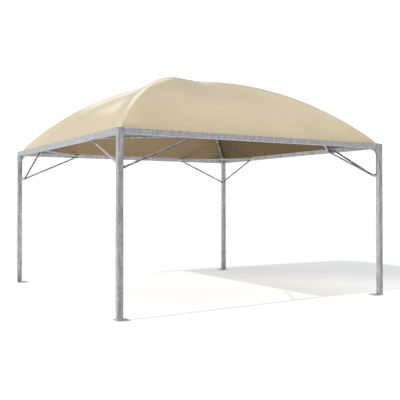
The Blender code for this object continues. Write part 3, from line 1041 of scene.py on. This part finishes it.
def knee_brace_ends():
    """Return the two ends of the knee brace along X, in the corner's axes."""
    tab_face = TAB_THICKNESS / 2 + GAP + FLAT_HALF_THICKNESS
    tab_bolt = Vector((TUBE, TUBE, 0.0)) + DIAGONAL * TAB_BOLT + SIDEWAYS * tab_face
    bend = tab_bolt + DIAGONAL * FLAT_LENGTH
    beam_face = TUBE + GAP
    beam_bolt = Vector((BEAM_BOLT, beam_face + FLAT_HALF_THICKNESS, 0.0))
    beam_bend = beam_bolt - Vector((FLAT_LENGTH, 0.0, 0.0))
    tube_end = Vector((BEAM_BOLT - FLAT_LENGTH - TAPER, beam_face + BRACE_RADIUS, 0.0))
    tube_start = bend + (tube_end - bend).normalized() * TAPER
    beam_tip = beam_bolt + Vector((FLAT_TIP, 0.0, 0.0))
    bolt_to_bolt = beam_bolt - tab_bolt
    climb = (BEAM_CENTRE - TAB_BOLT_HEIGHT) / bolt_to_bolt.length

    def raised(point):
        run = (point - tab_bolt).dot(bolt_to_bolt.normalized())
        return point + UP * (TAB_BOLT_HEIGHT + climb * run)

    at_tab = (raised(tab_bolt - DIAGONAL * FLAT_TIP), raised(bend), raised(tube_start), SIDEWAYS)
    at_beam = (raised(beam_tip), raised(beam_bend), raised(tube_end), Vector((0.0, -1.0, 0.0)))
    return at_tab, at_beam


def corner_brace_ends():
    """Return the two ends of the level brace from beam to beam, in the corner's axes."""
    flat_centre = TUBE + 2 * GAP + 3 * FLAT_HALF_THICKNESS
    tip = Vector((BEAM_BOLT + FLAT_TIP, flat_centre, BEAM_CENTRE))
    bend = Vector((BEAM_BOLT - CORNER_FLAT_LENGTH, flat_centre, BEAM_CENTRE))
    tube_end = bend - SIDEWAYS * TAPER
    level = Vector((0.0, 1.0, 0.0))
    return (tip, bend, tube_end, level), (tip.yxz, bend.yxz, tube_end.yxz, level.yxz)


def build_braces(index):
    """Make the two knee braces and the level brace of a corner."""
    corner = CORNERS[index]
    place = corner_matrix(index)
    knee = knee_brace_ends()
    other_knee = [[point.yxz for point in end] for end in knee]
    braces = {
        f"{corner}_knee_brace_{SIDES[index]}": knee,
        f"{corner}_knee_brace_{SIDES[index - 1]}": other_knee,
        f"{corner}_corner_brace": corner_brace_ends(),
    }
    for solid, (first, last) in braces.items():
        # the level brace takes the lighter copy of the brace steel, which paints light onto its
        # underside
        steel = CORNER_BRACE_LIT_STEEL if solid.endswith("corner_brace") else BRACE_STEEL
        work = brace_mesh(first, last)
        add_piece(work, f"{solid}_tube", (steel,), place, (solid,))


# Bolts and welds

def build_bolts(index):
    """Make the bolts of a corner: through the tab, in both beams and on the foot plate."""
    corner = CORNERS[index]
    place = corner_matrix(index)
    bolts = bmesh.new()
    tab_face = TAB_THICKNESS / 2 + GAP + 2 * FLAT_HALF_THICKNESS
    tab_bolt = Vector((TUBE, TUBE, TAB_BOLT_HEIGHT)) + DIAGONAL * TAB_BOLT
    hex_bolt(bolts, facing(tab_bolt + SIDEWAYS * tab_face, SIDEWAYS), BOLT)
    hex_bolt(bolts, facing(tab_bolt - SIDEWAYS * tab_face, -SIDEWAYS), BOLT, THREAD_PROUD)
    brace_face = TUBE + 2 * GAP + 4 * FLAT_HALF_THICKNESS
    beam_bolt = Vector((BEAM_BOLT, brace_face, BEAM_CENTRE))
    hex_bolt(bolts, facing(beam_bolt, (0.0, 1.0, 0.0)), BOLT, THREAD_PROUD)
    hex_bolt(bolts, facing(beam_bolt.yxz, (1.0, 0.0, 0.0)), BOLT, THREAD_PROUD)
    add_piece(bolts, f"{corner}_brace_bolts", (BOLT_STEEL,), place)

    anchors = bmesh.new()
    near = TUBE / 2
    far = PLATE_SIDE - ANCHOR_INSET
    for x, y in ((far, near), (near, far), (far, far)):
        hex_bolt(anchors, facing((x, y, PLATE_TOP), UP), ANCHOR, ANCHOR_PROUD)
    add_piece(anchors, f"{corner}_anchors", (BOLT_STEEL,), place)


def build_welds(index):
    """Make a corner's weld beads: on the foot, under the beams and along tab and gusset."""
    work = bmesh.new()
    beam_bottom = EAVES - TUBE
    beside_post = TUBE + THIN_WELD / 3
    level_beads = (
        ((WELD_INSET, beside_post, PLATE_TOP), (TUBE, beside_post, PLATE_TOP), WELD),
        ((TUBE, WELD_INSET, beam_bottom), (TUBE, TUBE - WELD_INSET, beam_bottom), THIN_WELD),
    )
    for start, end, radius in level_beads:
        first, last = Vector(start), Vector(end)
        weld_bead(work, first, last, radius)
        weld_bead(work, first.yxz, last.yxz, radius)
    post_corner = Vector((TUBE, TUBE, 0.0))
    uprights = (
        (TAB_THICKNESS, TAB_LOW.z + SHORT_INSET, TAB_HIGH.z - SHORT_INSET),
        (GUSSET_THICKNESS, GUSSET_LOW.z + SHORT_INSET, beam_bottom),
    )
    for thickness, low, high in uprights:
        for side in (-1, 1):
            foot = post_corner + SIDEWAYS * side * (thickness / 2 + THIN_WELD / 3)
            weld_bead(work, foot + UP * low, foot + UP * high, THIN_WELD)
    under_arch = ARCH_RADIUS - ARCH_DIAMETER / 2 + WELD_SUNK
    for side in (-1, 1):
        ends = []
        for back in (GUSSET_REACH - WELD_INSET, ARCH_END + WELD_INSET):
            spot = post_corner + DIAGONAL * back + SIDEWAYS * side * GUSSET_THICKNESS / 2
            ends.append(spot + UP * arc_height(under_arch, RIDGE_FOOT - back))
        weld_bead(work, *ends, WELD)
    place = corner_matrix(index)
    add_piece(work, f"{CORNERS[index]}_welds", (WELD_STEEL,), place)


# Camera and light

FOCAL_PIXELS = 641.9
IMAGE_SIDE = 400
PRINCIPAL = (185.66, 192.93)
CAMERA_PLACE = (-4.825, -8.359, 1.286)
CAMERA_HEADING = 29.964
CAMERA_PITCH = 0.845
SENSOR = 36.0


def build_camera():
    """Place the camera where the photograph was taken from."""
    data = bpy.data.cameras.new("camera")
    data.sensor_width = SENSOR
    data.lens = FOCAL_PIXELS / IMAGE_SIDE * SENSOR
    data.shift_x = 0.5 - PRINCIPAL[0] / IMAGE_SIDE
    data.shift_y = PRINCIPAL[1] / IMAGE_SIDE - 0.5
    camera = add_object("camera", data)
    camera.location = CAMERA_PLACE
    camera.rotation_euler = (math.radians(90 + CAMERA_PITCH), 0.0, -math.radians(CAMERA_HEADING))
    bpy.context.scene.camera = camera


WHITE = (1.0, 1.0, 1.0, 1.0)
SUN_FROM = Vector((-3.26, -0.28, 2.10))  # as the shadow on the floor shows
SUN_STRENGTH = 1.74
SUN_SOFTNESS = 0.8
FILL_FROM = Vector((0.32, -0.88, -0.35))  # low from the front, so that it reaches under the roof
FILL_STRENGTH = 1.18
FILL_SOFTNESS = 50.0
UNDER_PLACE = Vector((-0.2, 0.1, 0.01))  # a soft light just over the floor of the room
UNDER_SIDE = 3.0
UNDER_POWER = 86.0
HORIZON = 0.70  # brightness at eye level and overhead
ZENITH = 0.80
BACK_LIGHT = Vector((0.22, 0.40, 0.0))  # what the surround gains towards the back right
PANEL_FROM = Vector((0.286, 0.808, 0.515))  # a bright panel in reflections, high behind the gazebo
PANEL_EDGE = (0.966, 0.990)  # cosines from its middle where it begins and is full
PANEL_GLEAM = 1.5
DIM_FROM = Vector((0.383, 0.821, 0.423))  # round the panel, reflections are dimmer
DIM_EDGE = (0.78, 0.93)
DIM_GLEAM = 0.42
FLOOR_SIDE = 80.0
FLOOR_COLOUR = (0.83, 0.837, 0.85, 1.0)
FLOOR_GLOW = (0.365, 0.12)  # the floor paper glows, and less so towards the back right
GLOW_EDGE = (1.5, 4.2)  # sums of x and y where it starts to fall off and ends


def add_lamp(name, kind, strength):
    """Add a light that reflections don't show."""
    data = bpy.data.lights.new(name, kind)
    data.energy = strength
    lamp = add_object(name, data)
    lamp.visible_glossy = False
    return lamp


def add_sun(name, direction, strength, softness):
    """Add a far light that shines from a direction."""
    lamp = add_lamp(name, "SUN", strength)
    lamp.data.angle = math.radians(softness)
    lamp.rotation_euler = direction.to_track_quat("Z", "Y").to_euler()


def add_floor_light():
    """Add a soft light on the floor of the room that shines upwards."""
    lamp = add_lamp("under", "AREA", UNDER_POWER)
    lamp.data.size = UNDER_SIDE
    lamp.location = UNDER_PLACE
    lamp.rotation_euler = (math.pi, 0.0, 0.0)
    lamp.visible_camera = False


def split(tree, output):
    """Return the X, Y and Z of a vector."""
    return node(tree, "ShaderNodeSeparateXYZ", {"Vector": output}).outputs


def surround_strength(tree, direction):
    """Return the surround's brightness: a little more overhead, and more behind the gazebo."""
    falling = mapped(tree, split(tree, direction)["Z"], (0.0, 1.0), (HORIZON, ZENITH))
    return combined(tree, "ADD", falling, dot_with(tree, direction, BACK_LIGHT))


def mirrored_share(tree, direction):
    """Return the share of the surround's brightness that shows: other than 1 in reflections."""
    near_panel = dot_with(tree, direction, PANEL_FROM)
    panel = mapped(tree, near_panel, PANEL_EDGE, (0.0, PANEL_GLEAM), "SMOOTHSTEP")
    near_dim = dot_with(tree, direction, DIM_FROM)
    dim = mapped(tree, near_dim, DIM_EDGE, (1.0, DIM_GLEAM), "SMOOTHSTEP")
    reflected = node(tree, "ShaderNodeLightPath").outputs["Is Glossy Ray"]
    inputs = {"Factor": reflected, "A": 1.0, "B": combined(tree, "MAXIMUM", panel, dim)}
    return node(tree, "ShaderNodeMix", inputs).outputs["Result"]


def build_surround():
    """Surround the scene with white, and a panel that only reflections show."""
    world = bpy.data.worlds.new("surround")
    world.use_nodes = True
    tree = world.node_tree
    background = tree.nodes["Background"]
    background.inputs["Color"].default_value = WHITE
    direction = node(tree, "ShaderNodeTexCoord").outputs["Generated"]
    strength = surround_strength(tree, direction)
    shown = combined(tree, "MULTIPLY", strength, mirrored_share(tree, direction))
    tree.links.new(shown, background.inputs["Strength"])
    bpy.context.scene.world = world


def build_light():
    """Light the scene with a sun from the left, a wide fill, the room's floor and a surround."""
    add_sun("key", SUN_FROM, SUN_STRENGTH, SUN_SOFTNESS)
    add_sun("fill", FILL_FROM, FILL_STRENGTH, FILL_SOFTNESS)
    add_floor_light()
    build_surround()
    bpy.context.scene.view_settings.view_transform = "Standard"


def build_floor():
    """Lay a pale floor that glows a little."""
    material, tree, shader = new_material(
        "floor_paper",
        Base_Color=FLOOR_COLOUR,
        Emission_Color=WHITE,
        Roughness=0.9,
        Specular_IOR_Level=0.0,
    )
    place = split(tree, node(tree, "ShaderNodeTexCoord").outputs["Object"])
    to_back_right = combined(tree, "ADD", place["X"], place["Y"])
    glow = mapped(tree, to_back_right, GLOW_EDGE, FLOOR_GLOW)
    tree.links.new(glow, shader.inputs["Emission Strength"])
    work = bmesh.new()
    bmesh.ops.create_grid(work, x_segments=1, y_segments=1, size=FLOOR_SIDE / 2)
    mesh = bpy.data.meshes.new("floor")
    work.to_mesh(mesh)
    work.free()
    mesh.materials.append(material)
    floor = add_object("floor", mesh)
    floor.visible_shadow = False


build_camera()
build_light()
build_floor()
dress_nodes()
canopy = build_canopy()
trimmings = build_crown_patch()
for corner_index in range(4):
    trimmings += build_hem(corner_index)
    trimmings += build_ridge_seam(corner_index)
    build_arch(corner_index)
    build_braces(corner_index)
    build_bolts(corner_index)
    build_welds(corner_index)
build_crown()
cut_length, cut_area = cut_size()
